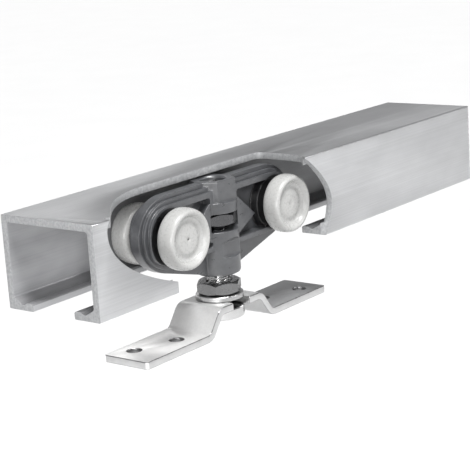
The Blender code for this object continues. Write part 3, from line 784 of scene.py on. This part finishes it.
def make_axle(side, steel):
    """A ground pin with chamfered ends and a shallow centre mark."""
    low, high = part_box("axle_" + side)
    centre = (low + high) / 2
    half = (high.y - low.y) / 2
    radius = (high.x - low.x) / 2
    chamfer = 0.4 * MM
    end = [(0, half - 0.5 * MM), (0.5 * MM, half - 0.1 * MM), (0.6 * MM, half)]
    end += [(radius - chamfer, half), (radius, half - chamfer)]
    profile = end + [(r, -h) for r, h in reversed(end)]
    axle = add_object("axle_pin_" + side, turned(profile, "Y", FINE_STEPS, centre), (steel,))
    shade(axle)
    dress(axle, "trolley", "bearing_steel", "axle_" + side)


# ---------------------------------------------------------------- hanger


def threaded_rod(radius, low, high, steps=48, slices=8):
    """A bmesh of a rod with a helical thread along it that fades out at both flat ends."""
    work = bmesh.new()
    steepness, root = THREAD_FORM
    count = int(round((high - low) / THREAD_PITCH * slices))
    rings = []
    for i in range(count + 1):
        z = low + (high - low) * i / count
        fade = min(1.0, (high - z) / THREAD_RUN_OUT, (z - low) / THREAD_RUN_OUT)
        ring = []
        for k in range(steps):
            phase = (z / THREAD_PITCH - k / steps) % 1.0
            crest = min(1.0, max(0.0, steepness * abs(2 * phase - 1) - root))
            deep = radius - THREAD_DEPTH * (1 - crest) * min(1.0, 0.25 + fade)
            reach = deep - (1 - fade) * SHANK_TAPER
            angle = 2 * math.pi * k / steps
            ring.append(work.verts.new((reach * math.cos(angle), reach * math.sin(angle), z)))
        rings.append(ring)
    for a, b in zip(rings, rings[1:]):
        for k in range(steps):
            n = (k + 1) % steps
            work.faces.new((a[k], a[n], b[n], b[k]))
    work.faces.new(rings[0][::-1])
    work.faces.new(rings[-1])
    return work


def make_bolt(finish, pocket_shade_finish):
    """The hanger bolt: a round socket head, a threaded shank painted dark as shade inside the nut's pocket,
    and a slotted end.
    """
    low, high = bolt_low, bolt_high
    head_radius = (high.x - low.x) / 2
    head_top = low.z + BOLT_HEAD_HEIGHT
    axis = (axis_x, 0, 0)
    finishes = (finish, pocket_shade_finish)
    shank = threaded_rod(SHANK_RADIUS, head_top - OVERCUT, high.z)
    bmesh.ops.translate(shank, verts=shank.verts, vec=Vector(axis))
    bolt = add_object("bolt_threaded", shank, finishes)
    pocket_low, pocket_high = (track_low.z + height for height in NUT_POCKET_HEIGHTS)
    # painted shade: the thread's faces inside the nut's pocket take the dark finish
    for face in bolt.data.polygons:
        face.material_index = pocket_low < face.center.z < pocket_high
    soft = 0.8 * MM
    chamfer = 0.4 * MM
    inner = head_radius - soft
    profile = [(0, low.z), (inner, low.z)]
    profile += [(inner + soft * math.sin(a), low.z + soft - soft * math.cos(a)) for a in arc(0, 90, 6)]
    profile += [(head_radius, head_top - chamfer), (head_radius - chamfer, head_top), (0, head_top)]
    combine(bolt, turned(profile, "Z", FINE_STEPS, axis), "UNION", finishes=finishes)
    slot_half, slot_depth = BOLT_SLOT
    slot_low = (axis_x - head_radius, -slot_half, high.z - slot_depth)
    slot_high = (axis_x + head_radius, slot_half, high.z + OVERCUT)
    combine(bolt, box(slot_low, slot_high), "DIFFERENCE", finishes=finishes)
    flats, socket_depth = BOLT_SOCKET
    socket = prism([(axis_x + x, y) for x, y in hexagon(flats)], "Z", low.z - OVERCUT, low.z + socket_depth)
    combine(bolt, socket, "DIFFERENCE", finishes=finishes)
    shade(bolt, 40)
    dress(bolt, "bolt", "plated_steel", "hanger_bolt")


def make_nut(node, name, body, finish):
    """A hexagon nut with its corners turned back at both faces and a chamfered thread."""
    low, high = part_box(node)
    flats = high.x - low.x
    corner = flats / math.sqrt(3)
    flat = flats / 2 - 0.35 * MM
    drop = (corner - flat) * math.tan(NUT_CHAMFER)
    outline = [(axis_x + x, y) for x, y in hexagon(flats)]
    lead = 0.6 * MM
    nut = add_object(name, prism(outline, "Z", low.z - lead, high.z + lead), (finish,))
    over = corner + 0.3 * MM
    over_drop = (over - flat) * math.tan(NUT_CHAMFER)
    limit = [(0, low.z), (flat, low.z), (over, low.z + over_drop), (over, high.z - over_drop)]
    limit += [(flat, high.z), (0, high.z)]
    combine(nut, turned(limit, "Z", FINE_STEPS, (axis_x, 0, 0)), "INTERSECT")
    mouth = BORE_RADIUS + 2 * lead
    bore = [(0, low.z - lead), (mouth, low.z - lead), (BORE_RADIUS, low.z + lead)]
    bore += [(BORE_RADIUS, high.z - lead), (mouth, high.z + lead), (0, high.z + lead)]
    combine(nut, turned(bore, "Z", FINE_STEPS, (axis_x, 0, 0)), "DIFFERENCE")
    bevelled(nut, min(0.16 * MM, drop / 3), 2, 25)
    shade(nut, 26)
    dress(nut, body, "plated_steel", node)


def make_washer(finish):
    """A stamped washer: one edge rounded by the punch, the other nearly square."""
    low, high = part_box("washer")
    radius = (high.x - low.x) / 2
    soft = 0.45 * MM
    chamfer = 0.15 * MM
    inner = radius - soft
    top = high.z - soft
    profile = [(BORE_RADIUS, low.z + chamfer), (BORE_RADIUS + chamfer, low.z)]
    profile += [(radius - chamfer, low.z), (radius, low.z + chamfer)]
    profile += [(inner + soft * math.cos(a), top + soft * math.sin(a)) for a in arc(0, 90, 6)]
    profile += [(BORE_RADIUS + 0.3 * MM, high.z), (BORE_RADIUS, high.z - 0.2 * MM)]
    washer = add_object("washer_stamped", turned(profile, "Z", FINE_STEPS, (axis_x, 0, 0)), (finish,))
    shade(washer)
    dress(washer, "hanger", "plated_steel", "washer")


def plate_side(low, high):
    """The bent strip seen from the front, as a closed outline."""
    half_length = (high.x - low.x) / 2
    bottom = low.z + PLATE_THICKNESS / 2
    rise = high.z - low.z - PLATE_THICKNESS
    rise_angle = math.atan2(rise, RAMP_RUN)
    setback = BEND_RADIUS * math.tan(rise_angle / 2)
    foot = Vector((PLATFORM_HALF + RAMP_RUN, bottom)) + Vector((setback, BEND_RADIUS))
    shoulder = Vector((PLATFORM_HALF, bottom + rise)) - Vector((setback, BEND_RADIUS))
    steps = 14
    middle = [(Vector((half_length, bottom)), Vector((0, 1)))]
    for k in range(steps + 1):
        angle = rise_angle * k / steps
        away = Vector((-math.sin(angle), -math.cos(angle)))
        middle.append((foot + away * BEND_RADIUS, -away))
    for k in range(steps + 1):
        angle = rise_angle * (1 - k / steps)
        away = Vector((math.sin(angle), math.cos(angle)))
        middle.append((shoulder + away * BEND_RADIUS, away))
    flip = Vector((-1, 1))
    middle += [(spot * flip, normal * flip) for spot, normal in reversed(middle)]
    half = PLATE_THICKNESS / 2
    top = [spot + normal * half for spot, normal in middle]
    under = [spot - normal * half for spot, normal in middle]
    return [(axis_x + spot.x, spot.y) for spot in top + under[::-1]]


def make_plate(finish, punched, sheared, rubbed):
    """The bent plate with its open slot, its drilled holes and edges softened and rubbed by tumbling."""
    low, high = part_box("hanger_plate")
    work = prism(plate_side(low, high), "Y", low.y, high.y)
    ends = [
        edge
        for edge in work.edges
        if all(min(v.co.x - low.x, high.x - v.co.x) < 0.1 * MM for v in edge.verts)
        and abs(edge.verts[0].co.z - edge.verts[1].co.z) > 1 * MM
    ]
    bmesh.ops.bevel(work, geom=ends, offset=PLATE_CORNER, segments=6, profile=0.5, affect="EDGES")
    finishes = (finish, punched, sheared, rubbed)
    plate = add_object("plate_bent", work, finishes)
    for face in plate.data.polygons:
        face.material_index = 2 if max(abs(face.normal.x), abs(face.normal.y)) > 0.97 else 0
    span = (low.z - OVERCUT, high.z + OVERCUT)
    mouth = low.y - OVERCUT
    slot = [(axis_x + BORE_RADIUS * math.cos(a), BORE_RADIUS * math.sin(a)) for a in arc(0, 180, 32)]
    slot = [(axis_x + BORE_RADIUS, mouth), *slot, (axis_x - BORE_RADIUS, mouth)]
    combine(plate, prism(slot, "Z", *span), "DIFFERENCE", finishes=finishes, face_slot=2)
    for x, y in SCREW_HOLES:
        for turn in (1, -1):
            place = (axis_x + turn * x, turn * y, 0)
            hole = rod(SCREW_HOLE_RADIUS, *span, "Z", place, 48)
            combine(plate, hole, "DIFFERENCE", finishes=finishes, face_slot=1)
    bevelled(plate, PLATE_EDGE_BREAK, 3, 35, 3)
    shade(plate, 30)
    dress(plate, "plate", "plated_steel", "hanger_plate")


# ---------------------------------------------------------------- stage


def make_floor():
    """A wide pale floor under the hanger plate."""
    finish = Finish("pale_floor", (0.62, 0.62, 0.62), 0.9)
    finish.set("Specular IOR Level", 0.1)
    finish.drive("Base Color", finish.ramp(finish.noise((8, 8, 8)), 0.615, 0.625))
    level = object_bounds()[0].z - FLOOR_DROP
    slab = box((-FLOOR_HALF, -FLOOR_HALF, level - 0.01), (FLOOR_HALF, FLOOR_HALF, level))
    floor = add_object("pale_floor", slab, (finish.material,))


def make_light(name, place, aim, size, power):
    """A soft rectangular light aimed at a point of the object."""
    lamp = bpy.data.lights.new(name, "AREA")
    lamp.shape = "RECTANGLE"
    lamp.size, lamp.size_y = size
    lamp.energy = power
    holder = bpy.data.objects.new(name, lamp)
    bpy.context.scene.collection.objects.link(holder)
    holder.location = place
    holder.rotation_euler = (Vector(aim) - Vector(place)).to_track_quat("-Z", "Y").to_euler()


def make_sun(name, place, power, spread):
    """Soft parallel light from the direction of a place, seen from the frame's origin."""
    lamp = bpy.data.lights.new(name, "SUN")
    lamp.energy = power
    lamp.angle = math.radians(spread)
    holder = bpy.data.objects.new(name, lamp)
    bpy.context.scene.collection.objects.link(holder)
    holder.location = place
    holder.rotation_euler = Vector(place).to_track_quat("Z", "Y").to_euler()


def make_world():
    """An even grey studio, brighter near the floor than overhead."""
    world = bpy.data.worlds.new("studio")
    world.use_nodes = True
    tree = world.node_tree
    background = tree.nodes["Background"]
    height = tree.nodes.new("ShaderNodeSeparateXYZ")
    ramp = tree.nodes.new("ShaderNodeValToRGB")
    tree.links.new(tree.nodes.new("ShaderNodeTexCoord").outputs["Generated"], height.inputs["Vector"])
    tree.links.new(height.outputs["Z"], ramp.inputs["Fac"])
    tree.links.new(ramp.outputs["Color"], background.inputs["Color"])
    low, high = ramp.color_ramp.elements
    low.position = 0.0
    low.color = (0.66, 0.66, 0.67, 1)
    high.position = 1.0
    high.color = (0.15, 0.15, 0.15, 1)
    background.inputs["Strength"].default_value = WORLD_STRENGTH
    bpy.context.scene.world = world


def make_stage():
    """The floor, the world and the lights."""
    make_floor()
    make_world()
    aim = (axis_x, 0, -0.03)
    make_sun("overhead", (-0.1, -0.35, 1.0), 4.6, 20)
    make_light("key", (0.55, -1.25, 0.8), aim, (0.3, 0.3), 7)
    make_light("fill", (-1.1, -0.9, 0.6), aim, (0.5, 0.4), 5)
    make_light("side", (-1.35, -0.5, 0.12), aim, (0.5, 0.3), 9)
    make_light("back", (0.80, 1.14, 0.54), aim, (0.5, 0.3), 0.6)


def make_camera():
    """The view from the near end, with a slight lean."""
    camera = bpy.data.cameras.new("camera")
    camera.lens = CAMERA_LENS
    camera.sensor_width = 36
    camera.clip_start = 0.01
    camera.clip_end = 100
    holder = bpy.data.objects.new("camera", camera)
    bpy.context.scene.collection.objects.link(holder)
    side = Vector((math.cos(CAMERA_AZIMUTH), math.sin(CAMERA_AZIMUTH), 0))
    level = Vector((math.sin(CAMERA_AZIMUTH), -math.cos(CAMERA_AZIMUTH), 0)) * math.cos(CAMERA_ELEVATION)
    back = level + Vector((0, 0, math.sin(CAMERA_ELEVATION)))
    up = back.cross(side)
    right = side * math.cos(CAMERA_ROLL) + up * math.sin(CAMERA_ROLL)
    top = up * math.cos(CAMERA_ROLL) - side * math.sin(CAMERA_ROLL)
    turn = Matrix((right, top, back)).transposed().to_4x4()
    holder.matrix_world = Matrix.Translation(Vector(CAMERA_TARGET) + back * CAMERA_DISTANCE) @ turn
    bpy.context.scene.camera = holder
    bpy.context.scene.view_settings.view_transform = "Standard"


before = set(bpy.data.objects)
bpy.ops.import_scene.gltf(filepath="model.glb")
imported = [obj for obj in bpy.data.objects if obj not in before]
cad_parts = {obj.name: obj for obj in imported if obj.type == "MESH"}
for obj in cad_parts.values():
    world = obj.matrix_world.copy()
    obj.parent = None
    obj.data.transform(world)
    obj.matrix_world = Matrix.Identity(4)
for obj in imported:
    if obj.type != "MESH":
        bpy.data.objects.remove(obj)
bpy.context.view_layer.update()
track_low, track_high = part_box("track")
track_width = track_high.y - track_low.y
bolt_low, bolt_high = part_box("hanger_bolt")
axis_x = (bolt_low.x + bolt_high.x) / 2
left_low, left_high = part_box("axle_left")
half_spacing = axis_x - (left_low.x + left_high.x) / 2
axle_height = (left_low.z + left_high.z) / 2 - track_low.z

hanger_steel = bright_plate("hanger_steel", (0.50, 0.50, 0.50), 0.24, 0.38)
bolt_steel = bright_plate("bolt_steel", (0.62, 0.62, 0.62), 0.14, 0.26)
nut_steel = bright_plate("nut_steel", (0.22, 0.22, 0.223), 0.2, 0.34)
dark_steel = bright_plate("dark_steel", (0.13, 0.13, 0.135), 0.22, 0.36)
bearing = bright_plate("bearing_steel", (0.66, 0.66, 0.66), 0.16, 0.24)
nylon = white_nylon()
drawn = extruded_aluminium("extruded_aluminium", (0.58, 0.585, 0.595), (0.68, 0.685, 0.695), 0.36)
# painted shade: the hollow's sides, and darker still its roof and floor, get dimmer copies of the drawn
# finish
hollow = extruded_aluminium("extruded_hollow_painted_shade", (0.27, 0.272, 0.282), (0.40, 0.402, 0.412), 0.36, 0.2)
shaded = extruded_aluminium("extruded_shaded", (0.17, 0.171, 0.177), (0.24, 0.241, 0.248), 0.4, 0.2)
make_track((drawn, cut_aluminium(), hollow, shaded))
plastic = grey_plastic("grey_plastic", (0.050, 0.0515, 0.055), (0.070, 0.072, 0.077))
# the near-black second plastic is painted shade behind the wheels
make_body(plastic, grey_plastic("painted_shade_plastic", (0.004, 0.004, 0.0045), (0.009, 0.009, 0.0095)))
for corner in WHEEL_CORNERS:
    make_wheel(corner, nylon, bearing, dark_steel)
for side in ("left", "right"):
    make_axle(side, bearing)
make_bolt(bolt_steel, dark_steel)
make_nut("captive_nut", "nut_captive", "trolley", dark_steel)
make_nut("lock_nut", "nut_lock", "nut", nut_steel)
make_washer(hanger_steel)
sheared = bright_plate("sheared_edge", (0.64, 0.64, 0.64), 0.3, 0.42)
rubbed = bright_plate("rubbed_edge", (0.36, 0.36, 0.363), 0.25, 0.36)
punched = bright_plate("punched_hole", (0.26, 0.26, 0.263), 0.3, 0.42)
make_plate(plate_painted_light(), punched, sheared, rubbed)
make_stage()
make_camera()
